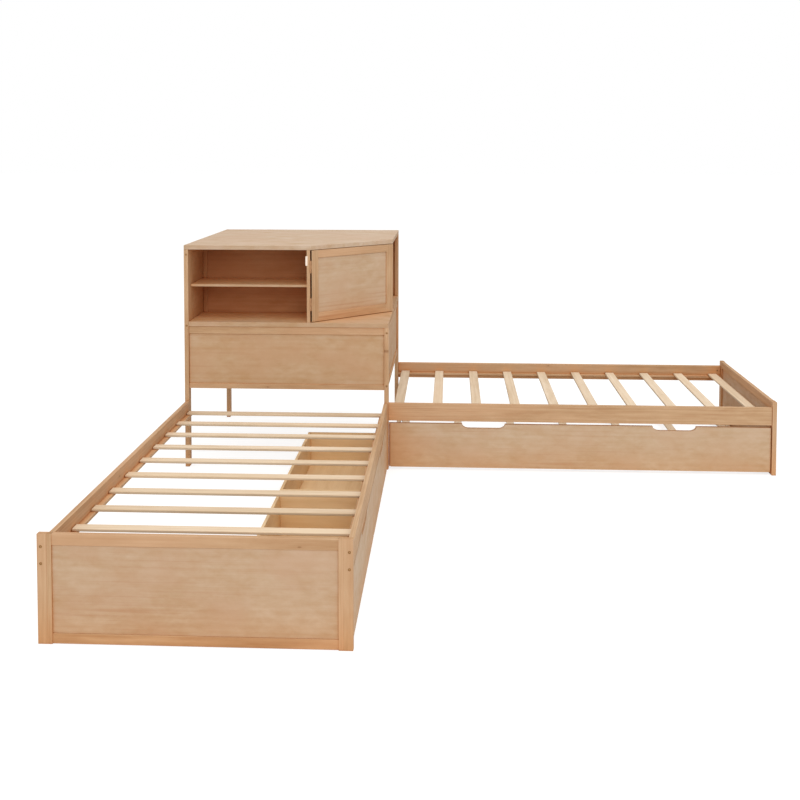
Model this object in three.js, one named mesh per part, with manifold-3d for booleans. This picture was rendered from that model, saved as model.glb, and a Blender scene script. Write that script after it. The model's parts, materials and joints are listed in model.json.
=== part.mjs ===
// An L of two platform beds that meet at a corner cabinet.
// The left bed has two drawers under it and the right bed has a low pull-out bed, all on wheels.
// Millimetres, +Z up. The origin is on the floor, at the middle of the square that the L stands in.

import * as THREE from 'three';
import { mergeVertices } from 'three/addons/utils/BufferGeometryUtils.js';
import Module from 'manifold-3d';

const wasm = await Module();
wasm.setup();

// Overall sizes
const bedWidth = 1060;
const bedLength = 1972.7;
const cabinetHeight = 1159.3;
const footboardHeight = 375;

// The gap left between two boards that meet, and what glued pieces run into each other
const seam = 0.3;
const tenon = 8;
const overrun = 10;
const halfShare = 0.5;

// Posts, headboards and footboards
const frameThickness = 22;
const postWidth = 45;
const footStileWidth = 49;
const footTopRail = 39;
const footBottomRail = 35;
const footRailLift = 1;
const footRailRecess = 2.5;
const panelRecess = 6;
const panelThickness = 9;
const headboardBottom = 413;
const headTopRail = 38;
const headBottomRail = 25.6;
const headboardInset = 4.8;

// Side rails with the ledger strip that carries the slats
const railThickness = 19;
const railTop = 346.7;
const railHeight = 91.1;
const railInset = 4.8;
const ledgerTop = 289;
const ledgerWidth = 20;
const ledgerHeight = 12;

// Bed slats
const slatCount = 10;
const slatWidth = 51;
const slatThickness = 10;
const slatHeadMargin = 20;
const slatFootMargin = 26;
const slatSideGap = 1.5;

// Corner cabinet
const topThickness = 23;
const floorThickness = 23.4;
const floorTop = 760.8;
const cornerCut = 400;
const dividerThickness = 17.2;
const dividerSetback = 4;
const compartmentDepth = 338;
const innerBackThickness = 12;
const shelfRiseShare = 0.5023;
const shelfThickness = 12;
const shelfSetback = 58;
const wallRail = 41;
const wallStile = 45;
const cleatWidth = 20;

// Door on the cut corner
const doorThickness = 19;
const doorStile = 45;
const doorTopRail = 40;
const doorBottomRail = 45;
const doorPanelRecess = 5;
const doorEndGap = 2.4;
const doorHingeGap = 8;
const doorLatchGap = 4;

// Butt hinges of the door
const hingeHeight = 64.5;
const hingeKnuckles = 3;
const hingeRiseShares = { lower: 0.2476, upper: 0.7723 };
const hingePinForward = 2;
const knuckleRadius = 3.7;
const hingePinRadius = 1.5;
const hingeBoreRadius = 1.9;
const leafThickness = 1.6;
const leafReach = 26;
const leafSink = 0.2;
const hingeSegments = 16;

// Board fronts of the drawers and of the pull-out bed
const frontLift = 16.6;
const drawerFrontGap = 2;
const trundleFrontGap = 14.1;
const frontThickness = 19;
const frontEndGap = 3;
const gripWidth = 222;
const gripDepth = 22.5;
const gripCornerRun = 36;
const gripCornerSteps = 6;
const frontEndBevel = 9.5;
const frontBevelDepth = 3;

// Drawer boxes
const boxDepth = 387;
const boxEndInset = 24;
const boxWallThickness = 12;
const boxWallTop = 199;
const boxFloorTop = 36;
const boxFloorThickness = 6;
const runnerBottom = 12;

// Frame of the pull-out bed
const trundleBackGap = 25.2;
const trundleBoard = 19;
const trundleBoardTop = 46;
const trundleSlatCount = 7;
const trundleSlatWidth = 43;
const trundleSlatThickness = 11;
const trundleSlatTop = 55;
const trundleSlatMargin = 33.5;

// Wheels and the axles they turn on
const wheelRadius = 20;
const wheelWidth = 16;
const wheelShoulder = 2;
const wheelBoreRadius = 4.3;
const wheelSegments = 24;
const axleRadius = 4;
const axleCollarRadius = 8;
const axleCollar = 2;
const wheelPlay = 0.3;
const wheelSetback = 45;

// Places worked out from the sizes above
const cabinetSide = bedWidth;
const overallSide = cabinetSide + bedLength;
const innerLength = bedLength - frameThickness;
const railBottom = railTop - railHeight;
const drawerFrontHeight = railBottom - drawerFrontGap - frontLift;
const trundleFrontHeight = railBottom - trundleFrontGap - frontLift;
const topBottom = cabinetHeight - topThickness;
const floorBottom = floorTop - floorThickness;
const cutStart = cabinetSide - cornerCut;
const dividerFace = cutStart - dividerSetback;
const rightDividerFace = cabinetSide - dividerFace;
const shelfTop = floorTop + (topBottom - floorTop) * shelfRiseShare;
const doorBottom = floorTop + doorEndGap;
const doorHeight = topBottom - doorEndGap - doorBottom;
const hingeCentres = {
  lower: doorBottom + doorHeight * hingeRiseShares.lower,
  upper: doorBottom + doorHeight * hingeRiseShares.upper,
};
const quarterTurn = Math.PI * halfShare;
const eighthTurn = quarterTurn * halfShare;
const hingePin = { x: dividerFace + doorHingeGap * halfShare, y: -hingePinForward };
const knuckleHeight = hingeHeight / hingeKnuckles;

// Surface finishes
const finishes = {
  oak: { color: 0xc9a27b, roughness: 0.62, metalness: 0 },
  slat: { color: 0xe2c9a6, roughness: 0.68, metalness: 0 },
  metal: { color: 0x8c7a62, roughness: 0.4, metalness: 0.9 },
  wheel: { color: 0x2c2c2e, roughness: 0.55, metalness: 0 },
};

// Turns a closed geometry into a solid that can be cut and joined.
function solid(geometry) {
  geometry.deleteAttribute('normal');
  geometry.deleteAttribute('uv');
  const merged = mergeVertices(geometry);
  const vertProperties = new Float32Array(merged.attributes.position.array);
  const triVerts = new Uint32Array(merged.index.array);
  return new wasm.Manifold(new wasm.Mesh({ numProp: 3, vertProperties, triVerts }));
}

// Gives a solid back as a geometry.
function shell(body) {
  const mesh = body.getMesh();
  const geometry = new THREE.BufferGeometry();
  geometry.setAttribute('position', new THREE.BufferAttribute(new Float32Array(mesh.vertProperties), 3));
  geometry.setIndex(new THREE.BufferAttribute(new Uint32Array(mesh.triVerts), 1));
  geometry.computeVertexNormals();
  return geometry;
}

function joined(geometries) {
  return geometries.map(solid).reduce((whole, next) => whole.add(next));
}

// A board that fills the given span on each axis.
function board(x, y, z) {
  const geometry = new THREE.BoxGeometry(x[1] - x[0], y[1] - y[0], z[1] - z[0]);
  const middle = [x, y, z].map((span) => (span[0] + span[1]) * halfShare);
  return geometry.translate(...middle);
}

// An upright prism over an outline drawn in plan.
function prism(outline, z) {
  const shape = new THREE.Shape(outline.map(([x, y]) => new THREE.Vector2(x, y)));
  const geometry = new THREE.ExtrudeGeometry(shape, { depth: z[1] - z[0], bevelEnabled: false });
  return geometry.translate(0, 0, z[0]);
}

function place(parent, name, geometry, finish) {
  const mesh = new THREE.Mesh(geometry, new THREE.MeshStandardMaterial(finishes[finish]));
  mesh.name = name;
  parent.add(mesh);
  return mesh;
}

// A frame of stiles and rails round a thinner panel. X runs along it, its face looks to -Y, Z is up.
function framedPanel(f) {
  const railX = [f.stile > 0 ? f.stile - tenon : 0, f.stile > 0 ? f.width - f.stile + tenon : f.width];
  const depth = [f.railRecess, f.thickness];
  const panelY = [f.panelRecess, f.panelRecess + f.panel];
  const lift = f.railLift;
  const pieces = [
    board(railX, depth, [lift, lift + f.bottomRail]),
    board(railX, depth, [f.height - f.topRail, f.height]),
    board(railX, panelY, [lift + f.bottomRail - tenon, f.height - f.topRail + tenon]),
  ];
  if (f.stile > 0) {
    pieces.push(board([0, f.stile], [0, f.thickness], [0, f.height]));
    pieces.push(board([f.width - f.stile, f.width], [0, f.thickness], [0, f.height]));
  }
  return joined(pieces);
}

// The outline of a board front seen from its face, with grips cut into the top edge.
function frontOutline(length, height, gripCentres) {
  const points = [[0, 0], [length, 0], [length, height]].map(([x, y]) => new THREE.Vector2(x, y));
  const run = gripWidth * halfShare - gripCornerRun;
  const corner = (centre, side, from) => {
    for (let step = 0; step <= gripCornerSteps; step += 1) {
      const turn = quarterTurn * Math.abs(from - step / gripCornerSteps);
      const x = centre + side * (run + gripCornerRun * Math.cos(turn));
      points.push(new THREE.Vector2(x, height - gripDepth * Math.sin(turn)));
    }
  };
  for (const centre of [...gripCentres].sort((a, b) => b - a)) {
    corner(centre, 1, 0);
    corner(centre, -1, 1);
  }
  points.push(new THREE.Vector2(0, height));
  return new THREE.Shape(points);
}

// A board front along X with its face at y = 0 looking to -Y, the back of it towards +Y.
function boardFront(length, height, gripCentres) {
  const depth = { depth: frontThickness, bevelEnabled: false };
  const slab = new THREE.ExtrudeGeometry(frontOutline(length, height, gripCentres), depth);
  slab.rotateX(quarterTurn).translate(0, frontThickness, 0);
  const plan = [
    [0, frontBevelDepth],
    [frontEndBevel, 0],
    [length - frontEndBevel, 0],
    [length, frontBevelDepth],
    [length, frontThickness + overrun],
    [0, frontThickness + overrun],
  ];
  return solid(slab).intersect(solid(prism(plan, [-overrun, height + overrun])));
}

// A turned piece whose axis is X, starting at x = 0. The profile lists [distance along, radius].
function turned(profile, segments) {
  const points = profile.map(([along, radius]) => new THREE.Vector2(radius, along));
  return new THREE.LatheGeometry(points, segments).rotateZ(-quarterTurn);
}

// A wheel on the +X side of what carries it.
function wheel() {
  const low = axleCollar + wheelPlay;
  const high = low + wheelWidth;
  return turned([
    [low, wheelBoreRadius],
    [low, wheelRadius - wheelShoulder],
    [low + wheelShoulder, wheelRadius],
    [high - wheelShoulder, wheelRadius],
    [high, wheelRadius - wheelShoulder],
    [high, wheelBoreRadius],
    [low, wheelBoreRadius],
  ], wheelSegments);
}

// The axle of that wheel: let into the board, with a collar on it and a head outside the wheel.
function axle(boardThickness) {
  const root = -boardThickness * halfShare;
  const headStart = axleCollar + wheelWidth + wheelPlay + wheelPlay;
  return turned([
    [root, 0],
    [root, axleRadius],
    [0, axleRadius],
    [0, axleCollarRadius],
    [axleCollar, axleCollarRadius],
    [axleCollar, axleRadius],
    [headStart, axleRadius],
    [headStart, axleCollarRadius],
    [headStart + axleCollar, axleCollarRadius],
    [headStart + axleCollar, 0],
  ], wheelSegments);
}

// Puts one geometry at each wheel station of a trolley. The stations say where and which way round.
function atStation(geometry, station) {
  return geometry.rotateZ(station.turn).translate(station.x, station.y, wheelRadius);
}

// A side rail along X. Its outer face looks to -Y and its ledger strip is on the other face.
function sideRail() {
  const length = [seam, innerLength - seam];
  const strip = [railThickness - tenon, railThickness + ledgerWidth];
  return joined([
    board(length, [0, railThickness], [railBottom, railTop]),
    board(length, strip, [ledgerTop - ledgerHeight, ledgerTop]),
  ]);
}

// One platform bed. X runs from the cabinet to the footboard, Y across the bed.
function platformBed(side, railNames) {
  const bed = new THREE.Group();
  const nearRail = place(bed, railNames[0], shell(sideRail()), 'oak');
  nearRail.position.y = railInset;
  const farRail = place(bed, railNames[1], shell(sideRail()), 'oak');
  farRail.rotation.z = Math.PI;
  farRail.position.set(innerLength, bedWidth - railInset, 0);

  const clearWidth = bedWidth - 2 * (railInset + railThickness + slatSideGap);
  const pitch = (innerLength - slatHeadMargin - slatFootMargin - slatWidth) / (slatCount - 1);
  for (let i = 0; i < slatCount; i += 1) {
    const slat = new THREE.BoxGeometry(slatWidth, clearWidth, slatThickness);
    const mesh = place(bed, `${side}_bed_slat_${String(i + 1).padStart(2, '0')}`, slat, 'slat');
    mesh.position.x = slatHeadMargin + slatWidth * halfShare + i * pitch;
    mesh.position.y = bedWidth * halfShare;
    mesh.position.z = ledgerTop + seam + slatThickness * halfShare;
  }

  const footboard = framedPanel({
    width: bedWidth,
    height: footboardHeight,
    thickness: frameThickness,
    stile: footStileWidth,
    topRail: footTopRail,
    bottomRail: footBottomRail,
    railLift: footRailLift,
    railRecess: footRailRecess,
    panelRecess,
    panel: panelThickness,
  });
  const foot = place(bed, `${side}_bed_footboard`, shell(footboard), 'oak');
  foot.rotation.z = quarterTurn;
  foot.position.x = bedLength;
  return bed;
}

// The box behind a drawer front, in the front's own frame, with the four axles.
function drawerGeometry(frontLength, stations) {
  const width = [boxEndInset, frontLength - boxEndInset];
  const depth = [frontThickness, frontThickness + boxDepth];
  const height = [runnerBottom - frontLift, boxWallTop - frontLift];
  const floorHigh = boxFloorTop - frontLift;
  const walls = [
    board(width, [depth[1] - boxWallThickness, depth[1]], height),
    board([width[0], width[0] + boxWallThickness], [depth[0] - tenon, depth[1]], height),
    board([width[1] - boxWallThickness, width[1]], [depth[0] - tenon, depth[1]], height),
    board(width, [depth[0] - tenon, depth[1]], [floorHigh - boxFloorThickness, floorHigh]),
  ];
  const wheelStub = (station) => atStation(axle(boxWallThickness), station).translate(0, 0, -frontLift);
  const axles = stations.map(wheelStub);
  const front = boardFront(frontLength, drawerFrontHeight, [frontLength * halfShare]);
  return joined([...walls, ...axles]).add(front);
}

// Wheel stations at the four corners of a trolley that is carried outside or inside its end boards.
function cornerStations(ends, setbacks, outward) {
  const stations = [];
  for (const y of setbacks) {
    stations.push({ x: ends[0], y, turn: outward ? Math.PI : 0 });
    stations.push({ x: ends[1], y, turn: outward ? 0 : Math.PI });
  }
  return stations;
}

function addWheels(group, name, stations) {
  stations.forEach((station, i) => {
    place(group, `${name}_wheel_${i + 1}`, atStation(wheel(), station), 'wheel');
  });
}

// A drawer of the left bed, built with its face to -Y, X along the bed.
function drawer(name, frontLength) {
  const group = new THREE.Group();
  const boxBack = frontThickness + boxDepth;
  const setbacks = [frontThickness + wheelSetback, boxBack - wheelSetback];
  const stations = cornerStations([boxEndInset, frontLength - boxEndInset], setbacks, true);
  const body = place(group, name, shell(drawerGeometry(frontLength, stations)), 'oak');
  body.position.z = frontLift;
  addWheels(group, name, stations);
  return group;
}

// The low pull-out bed under the right bed: its front, its frame with slats, and its wheels.
function trundle() {
  const group = new THREE.Group();
  const length = innerLength - 2 * frontEndGap;
  const quarter = length * halfShare * halfShare;
  const face = boardFront(length, trundleFrontHeight, [quarter, length - quarter]);
  const front = place(group, 'trundle_front', shell(face), 'oak');
  front.position.z = frontLift;

  const depth = [frontThickness + seam, bedWidth - railInset - trundleBackGap];
  const height = [runnerBottom, trundleBoardTop];
  const boards = [
    board([0, length], [depth[0], depth[0] + trundleBoard], height),
    board([0, length], [depth[1] - trundleBoard, depth[1]], height),
    board([0, trundleBoard], depth, height),
    board([length - trundleBoard, length], depth, height),
  ];
  const pitch = (length - 2 * trundleSlatMargin - trundleSlatWidth) / (trundleSlatCount - 1);
  for (let i = 0; i < trundleSlatCount; i += 1) {
    const left = trundleSlatMargin + i * pitch;
    const slatHeight = [trundleSlatTop - trundleSlatThickness, trundleSlatTop];
    boards.push(board([left, left + trundleSlatWidth], depth, slatHeight));
  }
  const setbacks = [depth[0] + trundleBoard + wheelSetback, depth[1] - trundleBoard - wheelSetback];
  const stations = cornerStations([trundleBoard, length - trundleBoard], setbacks, false);
  const axles = stations.map((station) => atStation(axle(trundleBoard), station));
  place(group, 'trundle_frame', shell(joined([...boards, ...axles])), 'slat');
  addWheels(group, 'trundle', stations);
  group.position.set(frontEndGap, railInset, 0);
  return group;
}

// A plan point on the other side of the cabinet's diagonal.
function mirrored([x, y]) {
  return [cabinetSide - y, cabinetSide - x];
}

function cabinetPosts(cabinet) {
  const near = [0, postWidth];
  const far = [cabinetSide - postWidth, cabinetSide];
  const left = [0, frameThickness];
  const right = [cabinetSide - frameThickness, cabinetSide];
  const full = [0, topBottom - seam];
  place(cabinet, 'front_left_post', board(left, near, full), 'oak');
  place(cabinet, 'rear_left_post', board(left, far, full), 'oak');
  place(cabinet, 'rear_right_post', board(right, far, full), 'oak');
  place(cabinet, 'front_right_post', board(right, near, [0, floorBottom - seam]), 'oak');
}

// A headboard under the cabinet floor, as long as the space between two posts.
function headboard(width) {
  return shell(framedPanel({
    width,
    height: floorBottom - seam - headboardBottom,
    thickness: frameThickness - headboardInset,
    stile: 0,
    topRail: headTopRail,
    bottomRail: headBottomRail,
    railLift: 0,
    railRecess: 0,
    panelRecess,
    panel: panelThickness,
  }));
}

function headboards(cabinet) {
  const across = cabinetSide - 2 * (frameThickness + seam);
  const front = place(cabinet, 'front_headboard', headboard(across), 'oak');
  front.position.set(frameThickness + seam, headboardInset, headboardBottom);
  const along = cabinetSide - 2 * (postWidth + seam);
  const right = place(cabinet, 'right_headboard', headboard(along), 'oak');
  right.rotation.z = quarterTurn;
  right.position.set(cabinetSide - headboardInset, postWidth + seam, headboardBottom);
}

// An outer wall of the cabinet, flush inside, with a cleat that carries the cabinet floor.
function outerWall(width) {
  const bottom = floorTop - wallRail;
  const wall = framedPanel({
    width,
    height: topBottom - seam - bottom,
    thickness: frameThickness,
    stile: wallStile,
    topRail: wallRail,
    bottomRail: wallRail,
    railLift: 0,
    railRecess: 0,
    panelRecess,
    panel: frameThickness - panelRecess,
  });
  const cleat = [frameThickness - tenon, frameThickness + cleatWidth];
  const strip = board([wallStile, width - wallStile], cleat, [0, wallRail - floorThickness - seam]);
  return shell(wall.add(solid(strip)));
}

function outerWalls(cabinet) {
  const bottom = floorTop - wallRail;
  const along = cabinetSide - 2 * (postWidth + seam);
  const side = place(cabinet, 'cabinet_side_panel', outerWall(along), 'oak');
  side.rotation.z = -quarterTurn;
  side.position.set(0, cabinetSide - postWidth - seam, bottom);
  const across = cabinetSide - 2 * (frameThickness + seam);
  const back = place(cabinet, 'cabinet_back_panel', outerWall(across), 'oak');
  back.rotation.z = Math.PI;
  back.position.set(cabinetSide - frameThickness - seam, cabinetSide, bottom);
}

function cabinetFloorAndTop(cabinet) {
  const inside = frameThickness + seam;
  const far = cabinetSide - inside;
  const floor = prism([
    [inside, 0],
    [cabinetSide, 0],
    [cabinetSide, cabinetSide - postWidth - seam],
    [far, cabinetSide - postWidth - seam],
    [far, far],
    [inside, far],
  ], [floorBottom, floorTop]);
  place(cabinet, 'cabinet_floor', floor, 'oak');
  const top = prism([
    [0, 0],
    [cutStart, 0],
    [cabinetSide, cornerCut],
    [cabinetSide, cabinetSide],
    [0, cabinetSide],
  ], [topBottom, cabinetHeight]);
  place(cabinet, 'cabinet_top', top, 'oak');
}

// Two dividers, one folded inner back and a shelf on each side, alike about the diagonal.
function cabinetInside(cabinet) {
  const height = [floorTop + seam, topBottom - seam];
  const left = [
    [dividerFace - dividerThickness, 0],
    [dividerFace, 0],
    [dividerFace, compartmentDepth - seam],
    [dividerFace - dividerThickness, compartmentDepth - seam],
  ];
  place(cabinet, 'left_divider', prism(left, height), 'oak');
  place(cabinet, 'right_divider', prism(left.map(mirrored).reverse(), height), 'oak');

  const inside = frameThickness + seam;
  const fold = innerBackThickness * Math.tan(eighthTurn * halfShare);
  const facing = [[inside, compartmentDepth], [dividerFace, compartmentDepth]];
  const behind = [
    [dividerFace - fold, compartmentDepth + innerBackThickness],
    [inside, compartmentDepth + innerBackThickness],
  ];
  const outline = [
    ...facing,
    ...facing.map(mirrored).reverse(),
    ...behind.map(mirrored).reverse(),
    ...behind,
  ];
  place(cabinet, 'inner_back', prism(outline, height), 'oak');

  const shelfHeight = [shelfTop - shelfThickness, shelfTop];
  const shelf = [
    [inside, shelfSetback],
    [dividerFace - dividerThickness - seam, shelfSetback],
    [dividerFace - dividerThickness - seam, compartmentDepth - seam],
    [inside, compartmentDepth - seam],
  ];
  place(cabinet, 'front_shelf', prism(shelf, shelfHeight), 'oak');
  place(cabinet, 'right_shelf', prism(shelf.map(mirrored).reverse(), shelfHeight), 'oak');
}

// A ring or rod about the upright hinge pin.
function aboutPin(profile, z) {
  return turned(profile, hingeSegments).rotateY(-quarterTurn).translate(hingePin.x, hingePin.y, z);
}

// The leaf on the divider, its two outer knuckles and the pin through the third.
function frameLeaf(centre) {
  const low = centre - hingeHeight * halfShare;
  const plateX = [dividerFace + seam, dividerFace + seam + leafThickness];
  const rod = (length, radius) => [[0, 0], [0, radius], [length, radius], [length, 0]];
  return shell(joined([
    board(plateX, [hingePin.y, hingePin.y + leafReach], [low, low + knuckleHeight - seam]),
    board(plateX, [hingePin.y, hingePin.y + leafReach], [low + 2 * knuckleHeight + seam, low + hingeHeight]),
    board(plateX, [leafReach * halfShare, hingePin.y + leafReach], [low, low + hingeHeight]),
    aboutPin(rod(knuckleHeight - seam, knuckleRadius), low),
    aboutPin(rod(knuckleHeight - seam, knuckleRadius), low + 2 * knuckleHeight + seam),
    aboutPin(rod(hingeHeight, hingePinRadius), low),
  ]));
}

// The leaf on the door's edge with the middle knuckle.
function doorLeaf(centre) {
  const low = centre - hingeHeight * halfShare;
  const edge = dividerFace + doorHingeGap;
  const plateX = [edge - leafThickness, edge + leafSink];
  const middle = [low + knuckleHeight, low + 2 * knuckleHeight];
  const ring = [
    [0, hingeBoreRadius],
    [0, knuckleRadius],
    [knuckleHeight, knuckleRadius],
    [knuckleHeight, hingeBoreRadius],
    [0, hingeBoreRadius],
  ];
  const reach = hingePin.y + leafReach;
  return [
    board(plateX, [hingePin.y, reach], middle),
    board(plateX, [leafReach * halfShare, reach], [low, low + hingeHeight]),
    aboutPin(ring, middle[0]),
  ];
}

// The framed door on the diagonal. Both upright edges are cut parallel to the dividers.
function door(cabinet) {
  const corner = { x: dividerFace + doorHingeGap, y: dividerFace + doorHingeGap - cutStart };
  const width = (rightDividerFace - doorLatchGap - corner.y) * Math.SQRT2;
  const frame = framedPanel({
    width,
    height: doorHeight,
    thickness: doorThickness,
    stile: doorStile,
    topRail: doorTopRail,
    bottomRail: doorBottomRail,
    railLift: 0,
    railRecess: 0,
    panelRecess: doorPanelRecess,
    panel: panelThickness,
  });
  const plan = [
    [0, 0],
    [width, 0],
    [width - doorThickness, doorThickness],
    [doorThickness, doorThickness],
  ];
  const trimmed = frame.intersect(solid(prism(plan, [-overrun, doorHeight + overrun])));
  const leaves = Object.values(hingeCentres).flatMap(doorLeaf);
  const local = leaves.map((leaf) => leaf.translate(-corner.x, -corner.y, -doorBottom).rotateZ(-eighthTurn));
  const mesh = place(cabinet, 'cabinet_door', shell(trimmed.add(joined(local))), 'oak');
  mesh.rotation.z = eighthTurn;
  mesh.position.set(corner.x, corner.y, doorBottom);
  place(cabinet, 'lower_hinge_frame_leaf', frameLeaf(hingeCentres.lower), 'metal');
  place(cabinet, 'upper_hinge_frame_leaf', frameLeaf(hingeCentres.upper), 'metal');
}

// The whole, drawn from the cabinet's front left corner and then centred on its square.
const furniture = new THREE.Group();

const cabinet = new THREE.Group();
cabinetPosts(cabinet);
headboards(cabinet);
outerWalls(cabinet);
cabinetFloorAndTop(cabinet);
cabinetInside(cabinet);
door(cabinet);
furniture.add(cabinet);

const rightBed = platformBed('right', ['right_bed_trundle_side_rail', 'right_bed_back_rail']);
rightBed.add(trundle());
rightBed.position.x = cabinetSide;
furniture.add(rightBed);

const leftBed = platformBed('left', ['left_bed_outer_rail', 'left_bed_drawer_side_rail']);
const drawerLength = (innerLength - 3 * frontEndGap) * halfShare;
for (const [i, name] of ['far_drawer', 'near_drawer'].entries()) {
  const pulled = drawer(name, drawerLength);
  pulled.rotation.z = Math.PI;
  pulled.position.x = frontEndGap + drawerLength + i * (drawerLength + frontEndGap);
  pulled.position.y = bedWidth - railInset;
  leftBed.add(pulled);
}
leftBed.rotation.z = -quarterTurn;
furniture.add(leftBed);

furniture.position.set(-overallSide * halfShare, overallSide * halfShare - cabinetSide, 0);

const whole = new THREE.Group();
whole.add(furniture);

export default whole;
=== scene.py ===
import json
import math

import bpy
import numpy as np
from mathutils import Matrix

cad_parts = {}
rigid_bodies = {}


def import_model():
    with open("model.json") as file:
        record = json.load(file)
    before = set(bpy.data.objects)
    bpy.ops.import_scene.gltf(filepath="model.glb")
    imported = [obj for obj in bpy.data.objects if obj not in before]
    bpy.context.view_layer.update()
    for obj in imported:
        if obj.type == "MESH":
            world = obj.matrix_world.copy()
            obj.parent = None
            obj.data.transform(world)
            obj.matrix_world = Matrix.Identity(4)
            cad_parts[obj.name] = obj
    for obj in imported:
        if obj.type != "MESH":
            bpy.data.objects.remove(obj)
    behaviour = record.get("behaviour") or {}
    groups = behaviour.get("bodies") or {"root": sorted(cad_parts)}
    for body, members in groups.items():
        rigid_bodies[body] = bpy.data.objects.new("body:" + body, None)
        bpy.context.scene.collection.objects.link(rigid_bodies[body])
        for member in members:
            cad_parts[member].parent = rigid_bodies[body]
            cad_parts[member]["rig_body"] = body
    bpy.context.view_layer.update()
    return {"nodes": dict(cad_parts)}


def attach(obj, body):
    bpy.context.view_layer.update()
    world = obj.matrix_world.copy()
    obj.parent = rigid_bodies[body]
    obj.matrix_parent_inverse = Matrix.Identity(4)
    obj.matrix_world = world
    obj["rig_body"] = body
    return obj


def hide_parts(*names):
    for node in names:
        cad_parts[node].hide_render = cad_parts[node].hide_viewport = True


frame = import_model()
SEED = 19
random = np.random.default_rng(SEED)

# Sizes in millimetres, the same as the solids have

# The whole
BED_WIDTH = 1060.0
BED_LENGTH = 1972.7
CABINET_HEIGHT = 1159.3
FOOTBOARD_HEIGHT = 375.0
SEAM = 0.3
BOARD = 22.0
POST = 45.0
INNER_LENGTH = BED_LENGTH - BOARD
SPAN = BED_WIDTH + BED_LENGTH

# Framed footboards and headboards
PANEL_RECESS, PANEL = 6.0, 9.0
FOOT_STILE, FOOT_TOP, FOOT_BOTTOM, FOOT_LIFT, FOOT_RECESS = 49.0, 39.0, 35.0, 1.0, 2.5
FOOT_GLUED = 33.0
HEADBOARD_BOTTOM, HEAD_TOP, HEAD_BOTTOM, HEAD_INSET = 413.0, 38.0, 25.6, 4.8

# Side rails, ledgers and slats
RAIL, RAIL_TOP, RAIL_HEIGHT, RAIL_INSET = 19.0, 346.7, 91.1, 4.8
RAIL_BOTTOM = RAIL_TOP - RAIL_HEIGHT
LEDGER_TOP, LEDGER_WIDTH, LEDGER_HEIGHT = 289.0, 20.0, 12.0
SLATS, SLAT_WIDTH, SLAT, SLAT_GAP = 10, 51.0, 10.0, 1.5
SLAT_HEAD, SLAT_FOOT = 20.0, 26.0

# Cabinet
TOP, FLOOR, FLOOR_TOP = 23.0, 23.4, 760.8
TOP_BOTTOM = CABINET_HEIGHT - TOP
FLOOR_BOTTOM = FLOOR_TOP - FLOOR
CUT = 400.0
CUT_START = BED_WIDTH - CUT
DIVIDER, DIVIDER_SETBACK = 17.2, 4.0
DIVIDER_FACE = CUT_START - DIVIDER_SETBACK
COMPARTMENT, INNER_BACK = 338.0, 12.0
SHELF_SHARE, SHELF, SHELF_SETBACK = 0.5023, 12.0, 58.0
SHELF_TOP = FLOOR_TOP + (TOP_BOTTOM - FLOOR_TOP) * SHELF_SHARE
WALL_RAIL, WALL_STILE, WALL_FLUSH, CLEAT = 41.0, 45.0, 0.4, 20.0

# Door and its hinges
DOOR, DOOR_STILE, DOOR_TOP, DOOR_BOTTOM, DOOR_RECESS = 19.0, 45.0, 40.0, 45.0, 5.0
DOOR_GAP, HINGE_GAP, LATCH_GAP = 2.4, 8.0, 4.0
DOOR_LOW = FLOOR_TOP + DOOR_GAP
DOOR_HEIGHT = TOP_BOTTOM - DOOR_GAP - DOOR_LOW
DOOR_EDGE = DIVIDER_FACE + HINGE_GAP
DOOR_OUT = DOOR_EDGE - CUT_START
DOOR_WIDTH = (BED_WIDTH - DIVIDER_FACE - LATCH_GAP - DOOR_OUT) * math.sqrt(2)
HINGE_SHARES = {"lower": 0.2476, "upper": 0.7723}
HINGE_HEIGHT, KNUCKLE, LEAF, LEAF_REACH, LEAF_SINK = 64.5, 3.7, 1.6, 26.0, 0.2
HINGE_PIN = (DIVIDER_FACE + HINGE_GAP / 2, -2.0)
PIN, PIN_OUT = 1.5, 0.6
SCREW_FORWARD, SCREW_INSET = 19.0, 11.0

# Drawers and the pull-out bed
FRONT_LIFT, FRONT, FRONT_GAP = 16.6, 19.0, 3.0
DRAWER_UNDER_RAIL, TRUNDLE_UNDER_RAIL = 2.0, 14.1
DRAWER_FRONT = RAIL_BOTTOM - DRAWER_UNDER_RAIL - FRONT_LIFT
TRUNDLE_FRONT = RAIL_BOTTOM - TRUNDLE_UNDER_RAIL - FRONT_LIFT
GRIP_WIDTH, GRIP_DEPTH, GRIP_RUN = 222.0, 22.5, 36.0
END_BEVEL, END_BEVEL_DEPTH = 9.5, 3.0
BOX_DEPTH, BOX_INSET, BOX_WALL, BOX_TOP, RUNNER_BOTTOM = 387.0, 24.0, 12.0, 199.0, 12.0
BOX_FLOOR_TOP, BOX_FLOOR = 36.0, 6.0
TRUNDLE_BOARD, TRUNDLE_TOP, TRUNDLE_BACK_GAP = 19.0, 46.0, 25.2
TRUNDLE_BACK = BED_WIDTH - RAIL_INSET - TRUNDLE_BACK_GAP
TRUNDLE_SLATS, TRUNDLE_SLAT_TOP, TRUNDLE_MARGIN = 7, 55.0, 33.5
TRUNDLE_SLAT_WIDTH, TRUNDLE_SLAT, TRUNDLE_SLAT_PLAY = 43.0, 11.0, 1.0
WHEEL, WHEEL_WIDTH, WHEEL_SETBACK, WHEEL_PLAY = 20.0, 16.0, 45.0, 0.3
AXLE, COLLAR, COLLAR_RADIUS = 4.0, 2.0, 8.0

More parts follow.
